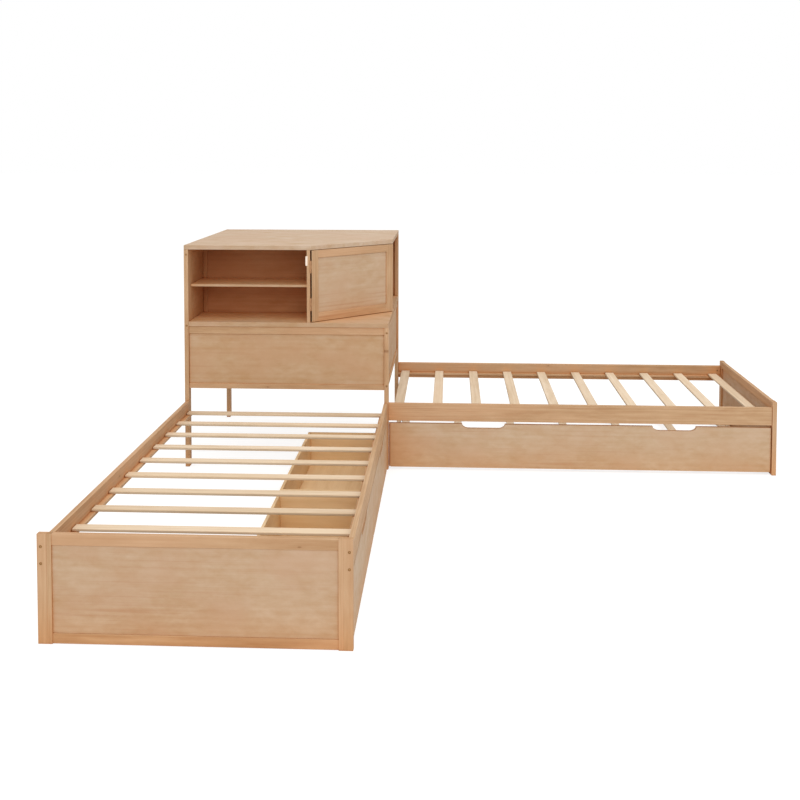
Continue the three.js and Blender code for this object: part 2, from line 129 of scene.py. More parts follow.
# Sizes that only the looks have: how far edges are eased, how deep one board sits in the next
EASED, RAIL_EASE, SLAT_EASE, TOP_EASE, BOX_EASE = 1.4, 2.0, 2.2, 1.8, 1.0
PANEL_EASE, GLUED_EASE, INNER_EASE, PLATE_EASE, CLIP_EASE = 0.6, 0.5, 0.4, 0.3, 0.9
EASE_STEPS = 3
CORNER_EASE = 1.25
BITE = 0.8
TENON = 3.0
PANEL_PLAY = 0.6
SLIVER = 0.01

# Each board is cut from its own place in a log, in metres along, across and through its grain
LOG_LOW, LOG_HIGH = (0, -0.03, 0.02), (18, 0.03, 0.09)
TONE_LIMIT = 1.8

# A millimetre in metres, a quarter turn, next to nothing, and the cosine from which a face counts
# as looking along an axis
MILLIMETRE = 0.001
QUARTER = math.pi / 2
HAIR = 1e-6
ALIGNED = 0.8


# Shapes

def spot(turn=0.0, x=0.0, y=0.0, z=0.0):
    """Where a piece stands: turned about the upright axis, then moved, as a 4 by 4 matrix."""
    place = np.eye(4)
    place[:2, :2] = [[math.cos(turn), -math.sin(turn)], [math.sin(turn), math.cos(turn)]]
    place[:3, 3] = x, y, z
    return place


CABINET = spot(0, -SPAN / 2, SPAN / 2 - BED_WIDTH)
LEFT_BED = CABINET @ spot(-QUARTER)
RIGHT_BED = CABINET @ spot(0, BED_WIDTH)


def eased_outline(outline, radius):
    """Each corner of a closed outline becomes the arc (1 - t)² from + 2t(1 - t) corner + t² to,
    where from and to lie on its two sides at the radius. Also says which steps belong to arcs."""
    corner = np.asarray(outline, float)
    back = np.roll(corner, 1, 0) - corner
    ahead = np.roll(corner, -1, 0) - corner
    start = corner + back * (radius / np.linalg.norm(back, axis=1))[:, None]
    end = corner + ahead * (radius / np.linalg.norm(ahead, axis=1))[:, None]
    t = np.linspace(0, 1, EASE_STEPS + 1)[None, :, None]
    arc = (1 - t) ** 2 * start[:, None] + 2 * t * (1 - t) * corner[:, None] + t ** 2 * end[:, None]
    curved = np.tile(np.arange(EASE_STEPS + 1) < EASE_STEPS, len(corner))
    return arc.reshape(-1, 2), curved


def carried(outline, low, high, ease, between=()):
    """The outline carried from low to high: rings at height low + ease (1 - cos t), each drawn in
    by ease (1 - sin t) along the mitre of its corners, and the same mirrored at the top."""
    t = np.linspace(0, QUARTER, EASE_STEPS + 1)
    inset, rise = ease * (1 - np.sin(t)), ease * (1 - np.cos(t))
    flat = np.zeros(len(between))
    inset = np.concatenate([inset, flat, inset[::-1]])
    height = np.concatenate([low + rise, np.asarray(between, float), (high - rise)[::-1]])
    side = np.roll(outline, -1, 0) - outline
    side = side / np.linalg.norm(side, axis=1)[:, None]
    inward = np.stack([-side[:, 1], side[:, 0]], 1)
    before = np.roll(inward, 1, 0)
    mitre = (inward + before) / (1 + (inward * before).sum(1))[:, None]
    return outline[None] + inset[:, None, None] * mitre[None], height


# The two axes of an outline, then the one that it is carried along
AXES = {"z": (0, 1, 2), "x": (1, 2, 0), "y": (2, 0, 1)}


class Boards:
    """The boards of one piece, each eased along its edges, gathered into one mesh. A board's look
    is the number of its material in the piece's list."""

    def __init__(self, place):
        self.place = place
        self.points, self.faces = [], []
        self.grain, self.tone, self.look = [], [], []
        self.smooth, self.eased, self.end, self.sawn = [], [], [], []
        self.count = 0

    def skin(self, rings, height, axis, curved, grain, look, place=None):
        """Quads between neighbouring rings and a flat face on each end. A quad is eased where its
        rings draw in or where its side is an arc, and it is end grain or a sawn edge where its
        normal lies along the grain or along the board's width."""
        steps, around = rings.shape[:2]
        local = np.empty((steps, around, 3))
        local[..., AXES[axis][0]] = rings[..., 0]
        local[..., AXES[axis][1]] = rings[..., 1]
        local[..., AXES[axis][2]] = height[:, None]
        local = local.reshape(-1, 3)

        along = "xyz".index(grain)
        rest = [i for i in range(3) if i != along]
        size = np.ptp(local, axis=0)
        if size[rest[0]] < size[rest[1]]:
            rest = rest[::-1]
        middle = (local.max(0) + local.min(0)) / 2
        log = random.uniform(LOG_LOW, LOG_HIGH)
        figure = (local - middle)[:, [along] + rest] * MILLIMETRE + log
        tone = np.clip(random.normal(0, 1), -TONE_LIMIT, TONE_LIMIT)

        ring = np.arange(around)
        step = np.arange(steps - 1)[:, None] * around
        quads = np.stack([step + ring, step + np.roll(ring, -1), step + around + np.roll(ring, -1),
                          step + around + ring], -1).reshape(-1, 4)
        bent = np.abs(np.diff(rings, axis=0)).max((1, 2)) > HAIR
        soft = (bent[:, None] | curved[None]).reshape(-1)
        corner = local[quads]
        normal = np.cross(corner[:, 2] - corner[:, 0], corner[:, 3] - corner[:, 1])
        normal /= np.linalg.norm(normal, axis=1)[:, None] + HAIR ** 2
        end = (np.abs(normal[:, along]) > ALIGNED).astype(float)
        cap_end = float(AXES[axis][2] == along)
        sawn = np.concatenate([(np.abs(normal[:, rest[0]]) > ALIGNED).astype(float), [0, 0]])

        if place is not None:
            local = local @ place[:3, :3].T + place[:3, 3]
        quads = quads + self.count
        bottom = (ring[::-1] + self.count).tolist()
        top = (ring + (steps - 1) * around + self.count).tolist()
        self.count += len(local)
        self.points.append(local)
        self.faces += quads.tolist() + [bottom, top]
        self.grain.append(figure)
        self.tone.append(np.full(len(local), tone))
        self.look.append(np.full(len(quads) + 2, look))
        self.smooth.append(np.concatenate([soft, [False, False]]))
        self.eased.append(np.concatenate([soft, [0, 0]]))
        self.end.append(np.concatenate([end, [cap_end, cap_end]]))
        self.sawn.append(sawn)
        return self

    def prism(self, outline, span, axis="z", grain="x", ease=EASED, look=0, place=None):
        """A board of any outline, carried along an axis."""
        shape, curved = eased_outline(outline, ease * CORNER_EASE)
        rings, height = carried(shape, span[0], span[1], ease)
        return self.skin(rings, height, axis, curved, grain, look, place=place)

    def board(self, x, y, z, grain="x", ease=EASED, look=0, place=None):
        """A straight board that fills the given span on each axis, carried along its grain."""
        span = (x, y, z)
        a, b = span[AXES[grain][0]], span[AXES[grain][1]]
        outline = [(a[0], b[0]), (a[1], b[0]), (a[1], b[1]), (a[0], b[1])]
        return self.prism(outline, span[AXES[grain][2]], grain, grain, ease, look, place)

    def build(self, name, materials):
        """The finished mesh in metres, with what its finish reads: the grain's own run of each
        board (along, across, through), the board's tone, and which faces are eased, end grain or
        sawn edges."""
        points = np.concatenate(self.points) @ self.place[:3, :3].T + self.place[:3, 3]
        mesh = bpy.data.meshes.new(name)
        mesh.from_pydata(points * MILLIMETRE, [], self.faces)
        for material in materials:
            mesh.materials.append(material)
        mesh.polygons.foreach_set("material_index", np.concatenate(self.look).astype(np.int32))
        mesh.polygons.foreach_set("use_smooth", np.concatenate(self.smooth).astype(bool))
        grain = mesh.attributes.new("grain", "FLOAT_VECTOR", "POINT")
        grain.data.foreach_set("vector", np.concatenate(self.grain).astype(np.float32).ravel())
        for key, domain, values in (("tone", "POINT", self.tone), ("eased", "FACE", self.eased),
                                    ("end_grain", "FACE", self.end), ("sawn_edge", "FACE", self.sawn)):
            layer = mesh.attributes.new(key, "FLOAT", domain)
            layer.data.foreach_set("value", np.concatenate(values).astype(np.float32))
        mesh.update()
        piece = bpy.data.objects.new(name, mesh)
        bpy.context.scene.collection.objects.link(piece)
        return piece


def framed(boards, width, height, thickness, stile, top, bottom, panel, lift=0.0, rail_recess=0.0,
           flush=0.0, glued=0.0):
    """Stiles and rails round a panel, as in the solids: X along it, its face looking to -Y. A glued
    stile is two lengths side by side, the outer one as wide as glued says."""
    bite = TENON if rail_recess else BITE
    if stile:
        ease = GLUED_EASE if glued else EASED
        for near, far in ([(0, glued), (glued, stile)] if glued else [(0, stile)]):
            for x in ((near, far), (width - far, width - near)):
                boards.board(x, (0, thickness), (0, height), "z", ease=ease)
        across, inner = (stile - bite, width - stile + bite), (stile - TENON, width - stile + TENON)
    else:
        across, inner = (0, width), (PANEL_PLAY, width - PANEL_PLAY)
    depth = (rail_recess, thickness)
    boards.board(across, depth, (height - top, height), "x")
    boards.board(across, depth, (lift, lift + bottom), "x")
    boards.board(inner, (PANEL_RECESS, PANEL_RECESS + panel - flush),
                 (lift + bottom - TENON, height - top + TENON), "x", ease=PANEL_EASE, look=1)


ROUND, CROSS, HEXAGON = 0, 4, 6
CROSS_DEPTH = 0.45
TURN_STEPS = 24
SHARP = math.radians(35)


def turned(profile, place, steps=TURN_STEPS, closed=False):
    """A profile turned about X. Each point lists its distance along, its radius and, where it isn't
    round, its shape: a hexagon has radius r cos 30° / cos(a - 30°), and a cross r (1 + 0.45 cos 4a)."""
    profile = np.array([(p + (ROUND,))[:3] for p in profile], float)
    angle = np.arange(steps) * (2 * math.pi / steps)
    sixth = math.cos(math.pi / 6) / np.cos(np.mod(angle, math.pi / 3) - math.pi / 6)
    cross = 1 + CROSS_DEPTH * np.cos(4 * angle)
    shape = profile[:, 2:]
    factor = np.where(shape == HEXAGON, sixth, np.where(shape == CROSS, cross, 1.0))
    radius = profile[:, 1:2] * factor
    along = np.broadcast_to(profile[:, :1], radius.shape)
    points = np.stack([along, radius * np.cos(angle), radius * np.sin(angle)], -1)
    rows = len(profile)
    row = np.arange(rows if closed else rows - 1)[:, None] * steps
    below = (row + steps) % (rows * steps)
    ring = np.arange(steps)
    faces = np.stack([row + ring, below + ring, below + np.roll(ring, -1), row + np.roll(ring, -1)], -1)
    faces = faces.reshape(-1, 4).tolist()
    if not closed:
        faces += [ring.tolist(), (ring + (rows - 1) * steps)[::-1].tolist()]
    points = points.reshape(-1, 3) @ place[:3, :3].T + place[:3, 3]
    return points, faces


def hardware(name, parts, materials, looks=None):
    """Several turned parts as one mesh. Faces of each part are turned outwards by the sign of the
    volume that they close."""
    points, faces, index, count = [], [], [], 0
    for i, (corners, sides) in enumerate(parts):
        fan = np.array([(side[0], side[j], side[j + 1]) for side in sides for j in range(1, len(side) - 1)])
        a, b, c = corners[fan[:, 0]], corners[fan[:, 1]], corners[fan[:, 2]]
        if (a * np.cross(b, c)).sum() < 0:
            sides = [side[::-1] for side in sides]
        points.append(corners)
        faces += [[corner + count for corner in side] for side in sides]
        index += looks[i] if looks else [0] * len(sides)
        count += len(corners)
    mesh = bpy.data.meshes.new(name)
    mesh.from_pydata(np.concatenate(points) * MILLIMETRE, [], faces)
    for material in materials:
        mesh.materials.append(material)
    mesh.polygons.foreach_set("material_index", np.array(index, np.int32))
    mesh.polygons.foreach_set("use_smooth", np.array([len(side) == 4 for side in faces]))
    mesh.update()
    mesh.set_sharp_from_angle(angle=SHARP)
    piece = bpy.data.objects.new(name, mesh)
    bpy.context.scene.collection.objects.link(piece)
    return piece


# Finishes

def shade(red, green, blue):
    """A colour as a screen shows it, 0 to 255, turned into light."""
    part = np.array([red, green, blue]) / 255
    light = np.where(part <= 0.04045, part / 12.92, ((part + 0.055) / 1.055) ** 2.4)
    return (*light.tolist(), 1.0)


class Nodes:
    """A node tree and short ways to add to it. A socket is named by its name with _ for each
    space, or by _ and its number."""

    def __init__(self, tree):
        self.tree = tree
        tree.nodes.clear()

    def add(self, kind, out=0, settings=None, **sockets):
        """A new node with its settings, and a link or a value in each socket that is named."""
        node = self.tree.nodes.new(kind)
        for key, value in (settings or {}).items():
            setattr(node, key, value)
        for key, value in sockets.items():
            socket = node.inputs[int(key[1:])] if key[0] == "_" else node.inputs[key.replace("_", " ")]
            if isinstance(value, bpy.types.NodeSocket):
                self.tree.links.new(value, socket)
            else:
                socket.default_value = value
        return node.outputs[out]

    def read(self, name, vector=False):
        return self.add("ShaderNodeAttribute", "Vector" if vector else "Fac",
                        {"attribute_type": "GEOMETRY", "attribute_name": name})

    def place(self):
        return self.add("ShaderNodeTexCoord", "Object")

    def stretch(self, vector, amount):
        return self.add("ShaderNodeVectorMath", 0, {"operation": "MULTIPLY"}, _0=vector, _1=amount)

    def noise(self, vector, amount, detail=2.0, roughness=0.5, distortion=0.0):
        return self.add("ShaderNodeTexNoise", "Fac", Vector=self.stretch(vector, amount), Scale=1.0,
                        Detail=detail, Roughness=roughness, Distortion=distortion)

    def span(self, value, low, high, new_low=0.0, new_high=1.0):
        return self.add("ShaderNodeMapRange", Value=value, From_Min=low, From_Max=high,
                        To_Min=new_low, To_Max=new_high)

    def sum(self, first, *terms):
        """first + each value times its amount."""
        for value, amount in terms:
            first = self.add("ShaderNodeMath", 0, {"operation": "MULTIPLY_ADD"},
                             _0=value, _1=amount, _2=first)
        return first

    def both(self, operation, first, second):
        return self.add("ShaderNodeMath", 0, {"operation": operation}, _0=first, _1=second)

    def times(self, first, second):
        return self.both("MULTIPLY", first, second)

    def mix(self, factor, first, second, how="MIX"):
        return self.add("ShaderNodeMix", 2, {"data_type": "RGBA", "blend_type": how, "clamp_factor": True},
                        _0=factor, _6=first, _7=second)

    def bump(self, height, distance, strength):
        return self.add("ShaderNodeBump", Height=height, Distance=distance, Strength=strength)

    def openness(self, reach, samples):
        """How open a place is, from 0 in a corner to 1 where nothing stands within reach."""
        return self.add("ShaderNodeAmbientOcclusion", "AO", {"samples": samples}, Distance=reach)

    def plainly_seen(self):
        """1 for a ray from the camera, a mirror or a glass, 0 for light on its way."""
        path = self.tree.nodes.new("ShaderNodeLightPath").outputs
        seen = self.both("MAXIMUM", path["Is Camera Ray"], path["Is Glossy Ray"])
        return self.both("MAXIMUM", seen, path["Is Transmission Ray"])

    def surface(self, shader, kind="ShaderNodeOutputMaterial"):
        out = self.tree.nodes.new(kind)
        self.tree.links.new(shader, out.inputs["Surface"])


class Finish(Nodes):
    """The nodes of a new material."""

    def __init__(self, name):
        self.material = bpy.data.materials.new(name)
        self.material.use_nodes = True
        super().__init__(self.material.node_tree)

    def close(self, **sockets):
        self.surface(self.add("ShaderNodeBsdfPrincipled", **sockets))
        return self.material


GRAIN_LINE, KNOT = shade(168, 112, 74), shade(112, 66, 36)
# Painted shade: a dark warm tint for the deepest nooks and a dark tint for the seams between boards. Each
# reach is how far round a point the painted shade looks for other faces.
PAINTED_DEEP_NOOK_SHADE, SEAM_SHADE = (1.0, 0.72, 0.50, 1), (0.74, 0.54, 0.39, 1)
NOOK_REACH, SEAM_REACH = 0.3, 0.014
WOOD_GLOSS = 0.07
PLY = 0.0026


def wood(name, pale, deep, blush, cloud=0.55, rings=0.22, ring_scale=38.0, streak=0.25, tone=0.10,
         knots=1.0, plies=0.0, lines=0.4, broad=(2.6, 11, 11), fine=(9, 46, 46), hue=(1.1, 4.5, 4.5),
         glow=(1.12, 0.88, 0.66), edge=-0.16, sawn=0.0, mottle=0.3):
    """Sawn and stained wood that follows each board's own grain. The way from pale to deep is a
    weighted sum of clouds, drawn-out growth rings, mottling, streaks, fine fibres, short pores,
    the board's tone, its end grain and its eased edges. Over it come darker sawn edges, a blush,
    reddish grain lines in some places and now and then a small dark knot. Plywood has a sine stripe
    for its plies. Last come painted light and shade: where other faces close a place in, the colour
    is multiplied by the glow tint, a painted warm bounce light and shade of wood lit by wood, and the
    deepest nooks and the seams between boards get painted shade."""
    f = Finish(name)
    grain = f.read("grain", vector=True)
    clouds = f.noise(grain, broad, 4, 0.55, 0.4)
    small = f.noise(grain, fine, 3, 0.6, 0.2)
    warmth = f.noise(grain, hue, 2, 0.5)
    fibres = f.noise(grain, (9, 520, 520), 2, 0.6)
    streaks = f.noise(grain, (2.2, 120, 120), 3, 0.65)
    ring = f.add("ShaderNodeTexWave", "Fac", {"wave_type": "RINGS", "rings_direction": "X"},
                 Vector=f.stretch(grain, (0.16, 1, 1)), Scale=ring_scale, Distortion=7.0, Detail=2.0,
                 Detail_Scale=0.28, Detail_Roughness=0.55)
    pores = f.span(f.noise(grain, (55, 1300, 1300), 1, 0.4), 0.66, 0.76)
    amount = f.sum(0.33 - (cloud + rings + streak + mottle) / 2, (f.span(clouds, 0.25, 0.75), cloud),
                   (ring, rings), (f.span(small, 0.25, 0.75), mottle), (f.span(streaks, 0.25, 0.75), streak),
                   (f.read("tone"), tone), (fibres, 0.42), (pores, 0.22), (f.read("end_grain"), 0.35),
                   (f.read("eased"), edge))
    if plies:
        through = f.add("ShaderNodeSeparateXYZ", 2, Vector=grain)
        stripe = f.add("ShaderNodeMath", 0, {"operation": "SINE"}, _0=f.times(through, 2 * math.pi / PLY))
        amount = f.sum(amount, (stripe, plies))
    colour = f.mix(amount, pale, deep)
    if sawn:
        colour = f.mix(f.read("sawn_edge"), colour, (sawn, sawn, sawn, 1), "MULTIPLY")
    colour = f.mix(f.times(f.span(warmth, 0.42, 0.68), 0.55), colour, blush)
    patch = f.span(f.noise(grain, (1.4, 6, 6), 2, 0.5), 0.46, 0.62)
    line = f.span(f.noise(grain, (1.5, 105, 105), 2, 0.6, 0.5), 0.54, 0.70)
    colour = f.mix(f.times(f.times(patch, line), lines), colour, GRAIN_LINE)
    if knots:
        cell = f.tree.nodes.new("ShaderNodeTexVoronoi")
        cell.voronoi_dimensions = "2D"
        cell.inputs["Scale"].default_value = 1.0
        f.tree.links.new(f.stretch(grain, (3.6, 8.5, 0)), cell.inputs["Vector"])
        there = f.span(f.add("ShaderNodeSeparateColor", Color=cell.outputs["Color"]), 0.80, 0.81)
        away = cell.outputs["Distance"]
        eye = f.times(f.span(away, 0.014, 0.032, 1, 0), there)
        halo = f.times(f.span(away, 0.03, 0.13, 1, 0), there)
        colour = f.mix(f.times(halo, 0.30 * knots), colour, deep)
        colour = f.mix(f.times(eye, 0.55 * knots), colour, KNOT)
    # Painted shade and painted bounce light: ambient occlusion masks multiply the colour by the glow tint in
    # nooks, by a dark warm tint in the deepest nooks and by a dark tint in the seams.
    nook = f.openness(NOOK_REACH, 6)
    colour = f.mix(f.span(nook, 0.82, 0.36), colour, (*glow, 1), "MULTIPLY")
    colour = f.mix(f.span(nook, 0.20, 0.04), colour, PAINTED_DEEP_NOOK_SHADE, "MULTIPLY")
    seam = f.openness(SEAM_REACH, 4)
    colour = f.mix(f.span(seam, 0.74, 0.24), colour, SEAM_SHADE, "MULTIPLY")
    relief = f.sum(0.0, (fibres, 0.5), (pores, -0.9), (streaks, 0.25))
    rough = f.sum(0.56, (fibres, 0.10), (clouds, 0.06), (f.read("end_grain"), 0.16),
                  (f.read("eased"), -0.05))
    return f.close(Base_Color=colour, Roughness=rough, Specular_IOR_Level=WOOD_GLOSS,
                   Normal=f.bump(relief, 0.00022, 0.35))


def metal(name, pale, deep, roughness, shine=0.85):
    """Plated steel: fine brushing under dull cloudy patches of the plating."""
    f = Finish(name)
    place = f.place()
    cloud = f.noise(place, (90, 90, 90), 4, 0.6)
    brush = f.noise(place, (900, 900, 60), 2, 0.5)
    colour = f.mix(f.sum(-0.2, (cloud, 1.0), (brush, 0.3)), pale, deep)
    rough = f.sum(roughness, (cloud, 0.14), (brush, 0.08))
    return f.close(Base_Color=colour, Metallic=shine, Roughness=rough, Normal=f.bump(brush, 0.00005, 0.4))


def plastic(name, pale, deep, roughness):
    """Moulded plastic or rubber: a faint spark-eroded grain, a slight drift of colour, scuffs."""
    f = Finish(name)
    place = f.place()
    drift = f.noise(place, (30, 30, 30), 3, 0.55)
    speck = f.noise(place, (2200, 2200, 2200), 1, 0.5)
    scuff = f.span(f.noise(place, (160, 160, 700), 3, 0.7), 0.62, 0.7)
    colour = f.mix(f.sum(-0.3, (drift, 1.4), (scuff, -0.4)), pale, deep)
    rough = f.sum(roughness, (speck, 0.1), (scuff, 0.18))
    return f.close(Base_Color=colour, Roughness=rough, Normal=f.bump(speck, 0.00006, 0.5))


def frame_wood(name, **more):
    """The straight-grained wood of stiles, rails and posts."""
    return wood(name, shade(209, 177, 142), shade(173, 133, 96), shade(203, 161, 126),
                tone=0.05, knots=0.8, **more)


def panel_wood(name, pale, deep, blush, glow=(1.06, 0.84, 0.63)):
    """The wider, cloudier figure of a glued-up panel."""
    return wood(name, pale, deep, blush, cloud=0.75, mottle=0.6, rings=0.12, ring_scale=14.0,
                streak=0.16, tone=0.05, knots=0.0, lines=0.24, broad=(5.0, 9.0, 9.0),
                fine=(15, 30, 30), hue=(5.0, 7.5, 7.5), glow=glow)


# The glow tint of each wood is painted light and shade in its nooks: below 1 it paints shade, above 1 painted
# light.
FRAME_WOOD = frame_wood("stained_frame_wood")
# A copy of the frame wood with a paler glow tint, so that its nooks get less painted shade.
DOOR_FRAME_WOOD = frame_wood("stained_door_frame_wood", glow=(1.10, 0.97, 0.82))
PANEL_WOOD = panel_wood("stained_panel_wood", shade(198, 172, 146), shade(181, 145, 109),
                        shade(196, 163, 137))
HEADBOARD_WOOD = panel_wood("stained_headboard_wood", shade(199, 170, 140), shade(183, 144, 103),
                            shade(198, 162, 131))
FRONT_WOOD = panel_wood("stained_front_wood", shade(200, 177, 152), shade(184, 151, 116),
                        shade(199, 170, 144))
# The shelf's glow tint lifts red and green in its nooks: painted light.
SHELF_WOOD = panel_wood("stained_shelf_wood", shade(197, 170, 142), shade(180, 143, 105),
                        shade(195, 161, 133), glow=(1.32, 1.12, 0.88))
TOP_WOOD = panel_wood("stained_top_wood", shade(203, 183, 162), shade(186, 156, 125),
                      shade(202, 175, 153))
INNER_WOOD = wood("shaded_inner_wood", shade(205, 158, 118), shade(172, 119, 78), shade(198, 144, 105),
                  cloud=0.8, rings=0.12, ring_scale=12.0, streak=0.2, tone=0.03, knots=0.0,
                  broad=(3.2, 7.5, 7.5), fine=(12, 30, 30), glow=(0.90, 0.80, 0.71))
# The slats' glow tint paints a faint shade into their nooks.
SLAT_WOOD = wood("pale_slat_wood", shade(236, 217, 193), shade(209, 184, 153), shade(229, 204, 173),
                 cloud=0.5, rings=0.3, tone=0.12, knots=0.4, lines=0.15, glow=(0.97, 0.96, 0.94),
                 edge=0.4, sawn=0.775)
# The plywood's glow tint brightens its nooks slightly: painted light.
BOX_PLY = wood("drawer_plywood", shade(239, 213, 176), shade(218, 185, 141), shade(234, 201, 157),
               cloud=0.5, rings=0.2, ring_scale=7.0, tone=0.06, knots=0.0, plies=0.10, lines=0.1,
               glow=(1.03, 1.03, 0.98))
HINGE_STEEL = metal("bronzed_hinge_steel", shade(196, 152, 112), shade(160, 116, 80), 0.5, shine=0.35)
BOLT_STEEL = metal("bronzed_bolt_steel", shade(164, 128, 82), shade(118, 84, 48), 0.34)
AXLE_STEEL = metal("zinc_axle_steel", shade(186, 188, 190), shade(140, 142, 146), 0.3)
TYRE = plastic("dark_wheel_tyre", shade(52, 52, 54), shade(30, 30, 32), 0.62)
HUB = plastic("grey_wheel_hub", shade(92, 92, 94), shade(66, 66, 68), 0.45)
CLIP = plastic("ivory_clip_plastic", shade(252, 238, 224), shade(238, 218, 200), 0.42)

# A piece's frame wood, then the wood of what its frame holds
WOODS = [FRAME_WOOD, PANEL_WOOD]
HEAD_WOODS = [FRAME_WOOD, HEADBOARD_WOOD]
FRONT_WOODS = [FRAME_WOOD, FRONT_WOOD]
DOOR_WOODS = [DOOR_FRAME_WOOD, FRONT_WOOD]
SHELF_WOODS = [FRAME_WOOD, SHELF_WOOD]
TOP_WOODS = [FRAME_WOOD, TOP_WOOD]


# Pieces

def dress(node, boards, materials=WOODS):
    """Puts the boards in the place of the solid of that name."""
    piece = boards.build(node + "_boards", materials)
    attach(piece, frame["nodes"][node]["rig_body"])
    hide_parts(node)


def add_on(piece, body):
    """Puts a fitting on its body."""
    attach(piece, body)


def side_rail(node, place):
    """A side rail with the ledger strip that its slats lie on."""
    boards = Boards(place)
    length = (SEAM, INNER_LENGTH - SEAM)
    boards.board(length, (0, RAIL), (RAIL_BOTTOM, RAIL_TOP), "x", ease=RAIL_EASE)
    boards.board(length, (RAIL - BITE, RAIL + LEDGER_WIDTH), (LEDGER_TOP - LEDGER_HEIGHT, LEDGER_TOP), "x")
    dress(node, boards)


def platform(side, rails, bed):
    """One bed: two side rails, the slats at an even pitch and the footboard."""
    side_rail(rails[0], bed @ spot(0, 0, RAIL_INSET))
    side_rail(rails[1], bed @ spot(math.pi, INNER_LENGTH, BED_WIDTH - RAIL_INSET))
    edge = RAIL_INSET + RAIL + SLAT_GAP
    pitch = (INNER_LENGTH - SLAT_HEAD - SLAT_FOOT - SLAT_WIDTH) / (SLATS - 1)
    low = LEDGER_TOP + SEAM
    for i in range(SLATS):
        x = SLAT_HEAD + i * pitch
        boards = Boards(bed)
        boards.board((x, x + SLAT_WIDTH), (edge, BED_WIDTH - edge), (low, low + SLAT), "y", ease=SLAT_EASE)
        dress(f"{side}_bed_slat_{i + 1:02d}", boards, [SLAT_WOOD])
    boards = Boards(bed @ spot(QUARTER, BED_LENGTH))
    framed(boards, BED_WIDTH, FOOTBOARD_HEIGHT, BOARD, FOOT_STILE, FOOT_TOP, FOOT_BOTTOM, PANEL,
           lift=FOOT_LIFT, rail_recess=FOOT_RECESS, glued=FOOT_GLUED)
    dress(f"{side}_bed_footboard", boards)


def posts_and_headboards():
    """Four posts, the front right one only up to the cabinet's floor, and a panel over each bed."""
    left, right = (0, BOARD), (BED_WIDTH - BOARD, BED_WIDTH)
    near, far = (0, POST), (BED_WIDTH - POST, BED_WIDTH)
    tall, short = (0, TOP_BOTTOM - SEAM), (0, FLOOR_BOTTOM - SEAM)
    for node, x, y, z in (("front_left_post", left, near, tall), ("rear_left_post", left, far, tall),
                          ("rear_right_post", right, far, tall), ("front_right_post", right, near, short)):
        dress(node, Boards(CABINET).board(x, y, z, "z"))
    height = FLOOR_BOTTOM - SEAM - HEADBOARD_BOTTOM
    for node, width, place in (
            ("front_headboard", BED_WIDTH - 2 * (BOARD + SEAM),
             spot(0, BOARD + SEAM, HEAD_INSET, HEADBOARD_BOTTOM)),
            ("right_headboard", BED_WIDTH - 2 * (POST + SEAM),
             spot(QUARTER, BED_WIDTH - HEAD_INSET, POST + SEAM, HEADBOARD_BOTTOM))):
        boards = Boards(CABINET @ place)
        framed(boards, width, height, BOARD - HEAD_INSET, 0, HEAD_TOP, HEAD_BOTTOM, PANEL)
        dress(node, boards, HEAD_WOODS)


def mirrored(outline):
    """The outline on the other side of the cabinet's diagonal."""
    return [(BED_WIDTH - y, BED_WIDTH - x) for x, y in outline][::-1]


def cabinet_case():
    """The outer walls with the cleats under the floor, the floor round the posts, and the top."""
    low = FLOOR_TOP - WALL_RAIL
    height = TOP_BOTTOM - SEAM - low
    for node, width, place in (
            ("cabinet_side_panel", BED_WIDTH - 2 * (POST + SEAM),
             spot(-QUARTER, 0, BED_WIDTH - POST - SEAM, low)),
            ("cabinet_back_panel", BED_WIDTH - 2 * (BOARD + SEAM),
             spot(math.pi, BED_WIDTH - BOARD - SEAM, BED_WIDTH, low))):
        boards = Boards(CABINET @ place)
        framed(boards, width, height, BOARD, WALL_STILE, WALL_RAIL, WALL_RAIL, BOARD - PANEL_RECESS,
               flush=WALL_FLUSH)
        boards.board((WALL_STILE, width - WALL_STILE), (BOARD - BITE, BOARD + CLEAT),
                     (0, WALL_RAIL - FLOOR - SEAM), "x")
        dress(node, boards, HEAD_WOODS)
    inside = BOARD + SEAM
    far, notch = BED_WIDTH - inside, BED_WIDTH - POST - SEAM
    floor = [(inside, 0), (BED_WIDTH, 0), (BED_WIDTH, notch), (far, notch), (far, far), (inside, far)]
    boards = Boards(CABINET).prism(floor, (FLOOR_BOTTOM, FLOOR_TOP), look=1)
    dress("cabinet_floor", boards, SHELF_WOODS)
    top = [(0, 0), (CUT_START, 0), (BED_WIDTH, CUT), (BED_WIDTH, BED_WIDTH), (0, BED_WIDTH)]
    boards = Boards(CABINET).prism(top, (TOP_BOTTOM, CABINET_HEIGHT), ease=TOP_EASE, look=1)
    dress("cabinet_top", boards, TOP_WOODS)


